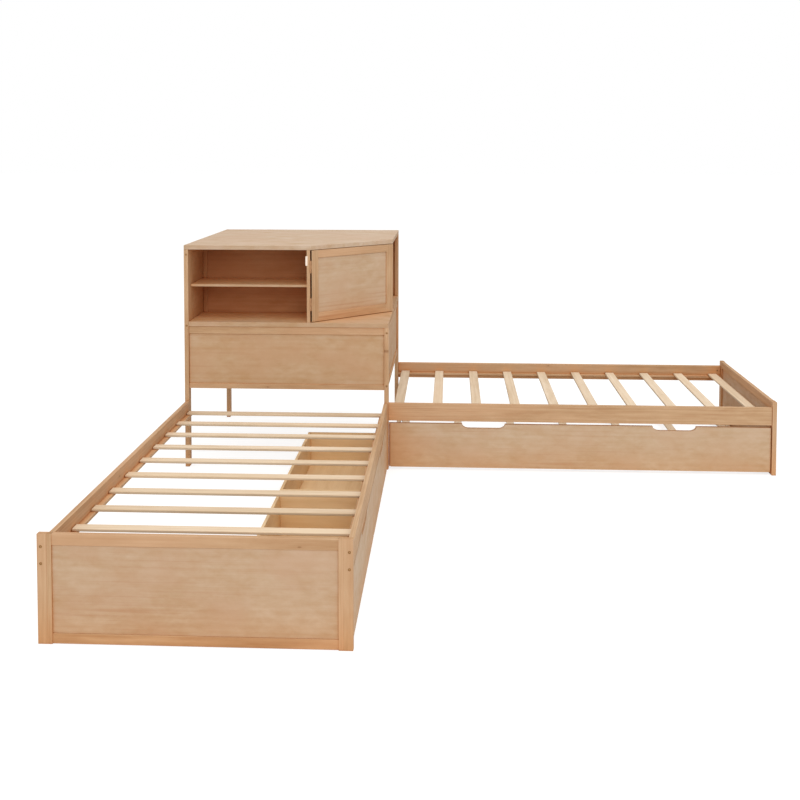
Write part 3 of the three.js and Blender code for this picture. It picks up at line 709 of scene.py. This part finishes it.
def cabinet_inside():
    """The two dividers, the folded back behind them, and a shelf in each open compartment. What
    stands on the right is the left one's mirror image about the diagonal."""
    upright = (FLOOR_TOP + SEAM, TOP_BOTTOM - SEAM)
    inside, back = BOARD + SEAM, COMPARTMENT - SEAM
    wall = DIVIDER_FACE - DIVIDER
    divider = [(wall, 0), (DIVIDER_FACE, 0), (DIVIDER_FACE, back), (wall, back)]
    dress("left_divider", Boards(CABINET).prism(divider, upright, grain="z"))
    dress("right_divider", Boards(CABINET).prism(mirrored(divider), upright, grain="z"))

    behind = COMPARTMENT + INNER_BACK
    fold = INNER_BACK * math.tan(math.pi / 8)
    leaf = [(inside, COMPARTMENT), (DIVIDER_FACE, COMPARTMENT), (DIVIDER_FACE - fold, behind),
            (inside, behind)]
    boards = Boards(CABINET)
    boards.prism(leaf, upright, ease=INNER_EASE, look=2)
    boards.prism(mirrored(leaf), upright, grain="y", ease=INNER_EASE, look=2)
    long = math.sqrt(2) * (BED_WIDTH - COMPARTMENT - DIVIDER_FACE)
    slant = [(0, 0), (long, 0), (long + fold, INNER_BACK), (-fold, INNER_BACK)]
    boards.prism(slant, upright, ease=INNER_EASE, look=2, place=spot(QUARTER / 2, DIVIDER_FACE, COMPARTMENT))
    dress("inner_back", boards, WOODS + [INNER_WOOD])

    end = wall - SEAM
    shelf = [(inside, SHELF_SETBACK), (end, SHELF_SETBACK), (end, back), (inside, back)]
    height = (SHELF_TOP - SHELF, SHELF_TOP)
    dress("front_shelf", Boards(CABINET).prism(shelf, height, look=1), SHELF_WOODS)
    dress("right_shelf", Boards(CABINET).prism(mirrored(shelf), height, grain="y", look=1), SHELF_WOODS)


def cabinet_door():
    """The diagonal door, from its hinge edge: X along it, its face looking to -Y. The outer
    edge of each stile is cut at 45 degrees, along its divider."""
    boards = Boards(CABINET @ spot(QUARTER / 2, DOOR_EDGE, DOOR_OUT, DOOR_LOW))
    upright = (0, DOOR_HEIGHT)
    hinge_stile = [(0, 0), (DOOR_STILE, 0), (DOOR_STILE, DOOR), (DOOR, DOOR)]
    latch_stile = [(DOOR_WIDTH - x, y) for x, y in hinge_stile][::-1]
    boards.prism(hinge_stile, upright, grain="z")
    boards.prism(latch_stile, upright, grain="z")
    across = (DOOR_STILE - BITE, DOOR_WIDTH - DOOR_STILE + BITE)
    boards.board(across, (0, DOOR), (DOOR_HEIGHT - DOOR_TOP, DOOR_HEIGHT), "x")
    boards.board(across, (0, DOOR), (0, DOOR_BOTTOM), "x")
    boards.board((DOOR_STILE - TENON, DOOR_WIDTH - DOOR_STILE + TENON), (DOOR_RECESS, DOOR_RECESS + PANEL),
                 (DOOR_BOTTOM - TENON, DOOR_HEIGHT - DOOR_TOP + TENON), "x", ease=PANEL_EASE, look=1)
    dress("cabinet_door", boards, DOOR_WOODS)


BEAD_EASE, BEAD_STEPS = 0.5, 4


def bead(low, high, radius):
    """A short rod standing at the hinge pin, its ends eased in a quarter circle."""
    t = np.linspace(0, QUARTER, BEAD_STEPS)[::-1]
    start = [(low + BEAD_EASE * (1 - math.sin(a)), radius - BEAD_EASE * (1 - math.cos(a))) for a in t]
    finish = [(high - (x - low), r) for x, r in start[::-1]]
    return turned(start + finish, upright_spot(*HINGE_PIN))


def upright_spot(x, y):
    """Stands a turned part up on the cabinet's plan: its own X becomes Z."""
    place = np.eye(4)
    place[:3, :3] = [[0, 0, -1], [0, 1, 0], [1, 0, 0]]
    place[:2, 3] = x, y
    return CABINET @ place


# Heads of fastenings as distance along and radius, from the wood outwards and back into the drive
SCREW = [(-1.5, 0.9), (-0.4, 2.9), (0.25, 2.9), (0.35, 2.6), (0.35, 1.15, CROSS), (-0.5, 0.8, CROSS)]
BOLT = [(-2.0, 2.0), (-2.0, 4.7), (0.5, 5.0), (0.95, 4.7), (1.1, 4.0), (1.1, 2.2, HEXAGON),
        (-0.9, 2.1, HEXAGON)]
NUT = [(-2.0, 2.0), (-2.0, 4.6), (0.2, 4.8), (0.45, 4.5), (0.5, 3.0), (0.5, 1.3, CROSS),
       (-0.6, 1.0, CROSS)]


def leaf_screws(x, turn, low, high):
    """Two screw heads in a hinge leaf, which look along the turn."""
    return [turned(SCREW, CABINET @ spot(turn, x, SCREW_FORWARD, z))
            for z in (low + SCREW_INSET, high - SCREW_INSET)]


def hinge(name):
    """A butt hinge. The frame's leaf lies on the divider and carries the outer knuckles and the
    pin, and the door's leaf lies on the door's edge and carries the middle knuckle."""
    low = DOOR_LOW + DOOR_HEIGHT * HINGE_SHARES[name] - HINGE_HEIGHT / 2
    high, third = low + HINGE_HEIGHT, HINGE_HEIGHT / 3
    pin = HINGE_PIN[1]
    whole, to_pin = (LEAF_REACH / 2, pin + LEAF_REACH - SLIVER), (pin, pin + LEAF_REACH)
    outer = ((low, low + third - SEAM), (high - third + SEAM, high))
    middle = (low + third, low + 2 * third)

    x = (DIVIDER_FACE + SEAM, DIVIDER_FACE + SEAM + LEAF)
    plates = Boards(CABINET)
    for z in outer:
        plates.board(x, to_pin, z, "z", ease=PLATE_EASE)
    plates.board(x, whole, (low, high), "z", ease=PLATE_EASE)
    add_on(plates.build(f"{name}_hinge_frame_plate", [HINGE_STEEL]), "bed_and_cabinet")
    parts = [bead(*z, KNUCKLE) for z in outer] + [bead(low - PIN_OUT, high + PIN_OUT, PIN)]
    parts += leaf_screws(x[1], 0, low, high)
    knuckles = hardware(f"{name}_hinge_knuckles", parts, [HINGE_STEEL])
    add_on(knuckles, "bed_and_cabinet")
    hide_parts(f"{name}_hinge_frame_leaf")

    x = (DOOR_EDGE - LEAF, DOOR_EDGE + LEAF_SINK)
    plates = Boards(CABINET)
    plates.board(x, to_pin, middle, "z", ease=PLATE_EASE)
    plates.board(x, whole, (low, high), "z", ease=PLATE_EASE)
    add_on(plates.build(f"{name}_hinge_door_plate", [HINGE_STEEL]), "door")
    parts = [bead(*middle, KNUCKLE)] + leaf_screws(x[0], math.pi, low, high)
    add_on(hardware(f"{name}_hinge_middle_knuckle", parts, [HINGE_STEEL]), "door")


# How many points a grip's corner has, how much a front's own corners are eased, and how near to
# an end its bevel takes hold
GRIP_POINTS, FRONT_CORNER, END_REACH = 9, 2.0, 3.0


def board_front(boards, length, height, grips):
    """A board front seen from its face: a rectangle with grips let into its top edge. A grip's
    corner is a quarter of an ellipse. Near the face both ends are cut back in a straight bevel."""
    corners, curved = eased_outline([(0, 0), (length, 0), (length, height), (0, height)], FRONT_CORNER)
    three = 3 * (EASE_STEPS + 1)
    angle = np.linspace(0, QUARTER, GRIP_POINTS)
    bend = np.arange(GRIP_POINTS) < GRIP_POINTS - 1
    run = GRIP_WIDTH / 2 - GRIP_RUN
    outline, bends = [corners[:three]], [curved[:three]]
    for centre in sorted(grips, reverse=True):
        x, z = run + GRIP_RUN * np.cos(angle), height - GRIP_DEPTH * np.sin(angle)
        outline += [np.stack([centre + x, z], 1), np.stack([centre - x, z], 1)[::-1]]
        bends += [bend, bend]
    outline = np.concatenate(outline + [corners[three:]])[::-1]
    bends = np.concatenate(bends + [curved[three:]])[::-1]
    rings, depth = carried(outline, 0, FRONT, EASED, [END_BEVEL_DEPTH])
    back = END_BEVEL * np.clip(1 - depth / END_BEVEL_DEPTH, 0, 1)[:, None]
    x = outline[:, 0]
    rings[..., 0] += back * np.where(x < END_REACH, 1, np.where(x > length - END_REACH, -1, 0))
    boards.skin(rings[..., ::-1], depth, "y", np.roll(bends, -1), "x", 1, place=spot(0, 0, 0, FRONT_LIFT))


# A wheel's side from the bore out, as depth and radius: the hub's dish, then the tread's edge
HUB_SIDE = [(0, 4.3), (0, 6.6), (0.5, 7.0), (1.6, 7.6), (1.6, 13.0), (0.4, 13.8), (0, 14.2)]
TREAD_SIDE = [(0, 14.6), (0.3, 14.8), (0, 15.0)]
WHEEL_SHOULDER, SHOULDER_STEPS, WHEEL_STEPS = 2.4, 5, 36

# An axle's collar and its head, as distance along and radius
COLLAR_EASE = 0.4
AXLE_HEAD = [(0, 7.5), (0.5, 8), (1.4, 7.7), (2, 6.6), (2, 2.6, CROSS), (1.0, 1.9, CROSS)]


def wheel(node, place):
    """A moulded wheel: a rounded dark tread on a paler hub with a dished side."""
    low = COLLAR + WHEEL_PLAY
    high = low + WHEEL_WIDTH
    t = np.linspace(0, QUARTER, SHOULDER_STEPS)[::-1]
    side = [(low + depth, radius) for depth, radius in HUB_SIDE + TREAD_SIDE]
    side += [(low + WHEEL_SHOULDER * (1 - math.sin(a)), WHEEL - WHEEL_SHOULDER * (1 - math.cos(a)))
             for a in t]
    other = [(low + high - x, radius) for x, radius in side[::-1]]
    points, faces = turned(side + other, place, WHEEL_STEPS, closed=True)
    groove = len(HUB_SIDE) + 1
    rubber = np.arange(groove, 2 * len(side) - groove - 1)
    looks = np.isin(np.arange(len(faces)) // WHEEL_STEPS, rubber).astype(int).tolist()
    piece = hardware(node + "_turned", [(points, faces)], [HUB, TYRE], [looks])
    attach(piece, frame["nodes"][node]["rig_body"])
    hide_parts(node)


def axle(place, root):
    """A turned axle that is let into its board as far as root, with a collar and a screw's head."""
    head = COLLAR + WHEEL_WIDTH + 2 * WHEEL_PLAY
    profile = [(-root, AXLE), (0, AXLE), (0, COLLAR_RADIUS - COLLAR_EASE), (COLLAR_EASE, COLLAR_RADIUS),
               (COLLAR - COLLAR_EASE, COLLAR_RADIUS), (COLLAR, COLLAR_RADIUS - COLLAR_EASE),
               (COLLAR, AXLE), (head, AXLE)]
    profile += [(head + point[0],) + point[1:] for point in AXLE_HEAD]
    return turned(profile, place)


def wheels_and_axles(name, group, stations, board):
    """A wheel on its axle at each station, which gives its place and the way it looks."""
    parts = []
    for i, (x, y, turn) in enumerate(stations):
        place = group @ spot(turn, x, y, WHEEL)
        wheel(f"{name}_wheel_{i + 1}", place)
        parts.append(axle(place, board / 2))
    add_on(hardware(f"{name}_axles", parts, [AXLE_STEEL]), name)


def drawer(name, place, length):
    """A drawer seen from its front: the front, a plywood box behind it, and four wheels."""
    boards = Boards(place)
    board_front(boards, length, DRAWER_FRONT, [length / 2])
    ends = (BOX_INSET, length - BOX_INSET)
    left, right = (ends[0], ends[0] + BOX_WALL), (ends[1] - BOX_WALL, ends[1])
    back = FRONT + BOX_DEPTH
    deep, tall = (FRONT - BITE, back), (RUNNER_BOTTOM, BOX_TOP)
    boards.board(left, deep, tall, "y", ease=BOX_EASE, look=2)
    boards.board(right, deep, tall, "y", ease=BOX_EASE, look=2)
    boards.board((left[1] - BITE, right[0] + BITE), (back - BOX_WALL, back), tall, "x", ease=BOX_EASE, look=2)
    boards.board((left[1] - TENON, right[0] + TENON), (FRONT - TENON, back - BOX_WALL + TENON),
                 (BOX_FLOOR_TOP - BOX_FLOOR, BOX_FLOOR_TOP), "x", ease=GLUED_EASE, look=2)
    dress(name, boards, FRONT_WOODS + [BOX_PLY])
    stations = [(x, y, turn) for y in (FRONT + WHEEL_SETBACK, back - WHEEL_SETBACK)
                for x, turn in zip(ends, (math.pi, 0))]
    wheels_and_axles(name, place, stations, BOX_WALL)


def drawers():
    """Two drawers of one length side by side under the left bed, the far one at the cabinet."""
    length = (INNER_LENGTH - 3 * FRONT_GAP) / 2
    for i, name in enumerate(("far_drawer", "near_drawer")):
        x = FRONT_GAP + length + i * (length + FRONT_GAP)
        drawer(name, LEFT_BED @ spot(math.pi, x, BED_WIDTH - RAIL_INSET), length)


def trundle():
    """The pull-out bed: its front with two grips, a frame of four boards, slats and four wheels."""
    place = RIGHT_BED @ spot(0, FRONT_GAP, RAIL_INSET)
    length = INNER_LENGTH - 2 * FRONT_GAP
    boards = Boards(place)
    board_front(boards, length, TRUNDLE_FRONT, [length / 4, length * 3 / 4])
    dress("trundle_front", boards, FRONT_WOODS)

    boards = Boards(place)
    tall, near, far = (RUNNER_BOTTOM, TRUNDLE_TOP), FRONT + SEAM, TRUNDLE_BACK
    boards.board((0, length), (near, near + TRUNDLE_BOARD), tall, "x")
    boards.board((0, length), (far - TRUNDLE_BOARD, far), tall, "x")
    inner = (near + TRUNDLE_BOARD - BITE, far - TRUNDLE_BOARD + BITE)
    boards.board((0, TRUNDLE_BOARD), inner, tall, "y")
    boards.board((length - TRUNDLE_BOARD, length), inner, tall, "y")
    pitch = (length - 2 * TRUNDLE_MARGIN - TRUNDLE_SLAT_WIDTH) / (TRUNDLE_SLATS - 1)
    for i in range(TRUNDLE_SLATS):
        x = TRUNDLE_MARGIN + i * pitch
        boards.board((x, x + TRUNDLE_SLAT_WIDTH), (near + TRUNDLE_SLAT_PLAY, far - TRUNDLE_SLAT_PLAY),
                     (TRUNDLE_SLAT_TOP - TRUNDLE_SLAT, TRUNDLE_SLAT_TOP), "y", ease=SLAT_EASE)
    dress("trundle_frame", boards, [SLAT_WOOD])
    setback = TRUNDLE_BOARD + WHEEL_SETBACK
    stations = [(x, y, turn) for y in (near + setback, far - setback)
                for x, turn in ((TRUNDLE_BOARD, 0), (length - TRUNDLE_BOARD, math.pi))]
    wheels_and_axles("trundle", place, stations, TRUNDLE_BOARD)


# Where small fittings sit: a footboard's bolts across and up its face, the cabinet's bolts across
# and up its front, the barrel nut in the back rail and the clip's span on each axis, both on the
# cabinet's plan, and how far the compartment's strip reaches, stands out and is sunk in
FOOT_BOLTS_ACROSS, FOOT_BOLTS_UP = (13.0, 1047.6), (274.0, 332.0)
CABINET_BOLTS = ((12.7, 1110.0), (12.3, 740.6), (1051.0, 710.6), (1051.0, 435.4))
RAIL_NUT = (2991.0, 1036.2, 319.0)
CLIP_SPANS = ((632.7, 643.6), (-1.2, 2.0), (1056, 1105))
STRIP_END, STRIP_FORWARD, STRIP_SUNK = 46, 6, 1


def fittings():
    """Bolt heads on the footboards and posts, a barrel nut, the pale clip on the left divider and
    the upright strip at the back of the front compartment."""
    places = [bed @ spot(QUARTER, BED_LENGTH) @ spot(-QUARTER, x, 0, z) for bed in (LEFT_BED, RIGHT_BED)
              for x in FOOT_BOLTS_ACROSS for z in FOOT_BOLTS_UP]
    places += [CABINET @ spot(-QUARTER, x, 0, z) for x, z in CABINET_BOLTS]
    bolts = hardware("frame_bolts", [turned(BOLT, place) for place in places], [BOLT_STEEL])
    add_on(bolts, "bed_and_cabinet")
    nut = hardware("back_rail_barrel_nut", [turned(NUT, CABINET @ spot(-QUARTER, *RAIL_NUT))], [BOLT_STEEL])
    add_on(nut, "bed_and_cabinet")

    clip = Boards(CABINET).board(*CLIP_SPANS, "z", ease=CLIP_EASE)
    add_on(clip.build("divider_clip", [CLIP]), "bed_and_cabinet")
    strip = Boards(CABINET)
    x, y = (BOARD + SEAM, STRIP_END), (COMPARTMENT - STRIP_FORWARD, COMPARTMENT + STRIP_SUNK)
    for z in ((FLOOR_TOP, SHELF_TOP - SHELF), (SHELF_TOP, TOP_BOTTOM)):
        strip.board(x, y, z, "z")
    add_on(strip.build("compartment_back_strip", [INNER_WOOD]), "bed_and_cabinet")


# Floor, light and camera, in metres

FLOOR_REACH, FLOOR_SINK = 60.0, 0.0005
WHITE, SKY, LAMP = (1, 1, 1, 1), (1, 0.995, 0.985, 1), (1, 0.985, 0.96)
FLOOR_LIT, FLOOR_SEEN = (0.86, 0.86, 0.86, 1), (0.34, 0.34, 0.34, 1)
FLOOR_GLOW, SKY_STRENGTH = 0.79, 0.70

# Each lamp's name, place, the point that it looks at, its side and its power in watts
LAMPS = (("window_light", (1.1, -12.0, 7.2), (0, 0, 0.4), 7.5, 605.0),
         ("overhead_light", (0.6, -0.2, 6.5), (0.5, 0.0, 0), 6.0, 150.0))

# The camera that the photo's straight edges give, its turns in radians and its lens in millimetres
EYE = (-0.1402, -4.91541, 1.6625)
YAW, PITCH, ROLL = 0.047394, -0.04999, 0.00091
SENSOR, FOCAL, FAR_SIGHT = 36.0, 47.497, 200
SHIFT = (-0.000625, -0.249375)


def facing(place, side, over, look):
    """A lamp's or a camera's place in the world: its X, Y and -Z along side, over and look."""
    turn = np.eye(4)
    turn[:3, 0], turn[:3, 1], turn[:3, 2], turn[:3, 3] = side, over, -look, place
    return Matrix(turn.tolist())


def pale_floor():
    """A plain floor that the camera sees as white, with the object's shadow on it."""
    f = Finish("pale_floor")
    seen = f.plainly_seen()
    diffuse = f.add("ShaderNodeBsdfDiffuse", Color=f.mix(seen, FLOOR_LIT, FLOOR_SEEN))
    glow = f.add("ShaderNodeEmission", Color=WHITE, Strength=f.times(seen, FLOOR_GLOW))
    f.surface(f.add("ShaderNodeAddShader", _0=diffuse, _1=glow))
    mesh = bpy.data.meshes.new("studio_floor")
    far = FLOOR_REACH
    mesh.from_pydata([(-far, -far, 0), (far, -far, 0), (far, far, 0), (-far, far, 0)], [], [(0, 1, 2, 3)])
    mesh.materials.append(f.material)
    floor = bpy.data.objects.new("studio_floor", mesh)
    floor.location.z = -FLOOR_SINK
    bpy.context.scene.collection.objects.link(floor)


def sky():
    """A soft light from all round, which the camera sees as white."""
    world = bpy.data.worlds.new("studio")
    bpy.context.scene.world = world
    world.use_nodes = True
    nodes = Nodes(world.node_tree)
    light = nodes.add("ShaderNodeBackground", Color=SKY, Strength=SKY_STRENGTH)
    white = nodes.add("ShaderNodeBackground", Color=WHITE, Strength=1.0)
    both = nodes.add("ShaderNodeMixShader", _0=nodes.plainly_seen(), _1=light, _2=white)
    nodes.surface(both, "ShaderNodeOutputWorld")


def lamps():
    """Square lamps, each turned to the point that it looks at."""
    for name, place, aim, size, power in LAMPS:
        lamp = bpy.data.lights.new(name, "AREA")
        lamp.shape = "SQUARE"
        lamp.size = size
        lamp.energy = power
        lamp.color = LAMP
        holder = bpy.data.objects.new(name, lamp)
        look = np.array(aim) - np.array(place)
        look = look / np.linalg.norm(look)
        side = np.cross(look, (0, 0, 1))
        side = side / np.linalg.norm(side)
        holder.matrix_world = facing(place, side, np.cross(side, look), look)
        bpy.context.scene.collection.objects.link(holder)


def camera():
    """The photo's camera: turned by its yaw, tipped by its pitch, then rolled about its own axis."""
    right = np.array([math.cos(YAW), math.sin(YAW), 0])
    ahead = np.array([-math.sin(YAW), math.cos(YAW), 0])
    up = np.array([0, 0, 1.0])
    look = ahead * math.cos(PITCH) + up * math.sin(PITCH)
    top = -ahead * math.sin(PITCH) + up * math.cos(PITCH)
    side = right * math.cos(ROLL) + top * math.sin(ROLL)
    over = -right * math.sin(ROLL) + top * math.cos(ROLL)
    lens = bpy.data.cameras.new("photo_camera")
    lens.sensor_width = SENSOR
    lens.lens = FOCAL
    lens.shift_x, lens.shift_y = SHIFT
    lens.clip_end = FAR_SIGHT
    eye = bpy.data.objects.new("photo_camera", lens)
    eye.matrix_world = facing(EYE, side, over, look)
    bpy.context.scene.collection.objects.link(eye)
    bpy.context.scene.camera = eye


platform("left", ("left_bed_outer_rail", "left_bed_drawer_side_rail"), LEFT_BED)
platform("right", ("right_bed_trundle_side_rail", "right_bed_back_rail"), RIGHT_BED)
posts_and_headboards()
cabinet_case()
cabinet_inside()
cabinet_door()
hinge("lower")
hinge("upper")
drawers()
trundle()
fittings()

bpy.context.scene.view_settings.view_transform = "Standard"
pale_floor()
sky()
lamps()
camera()
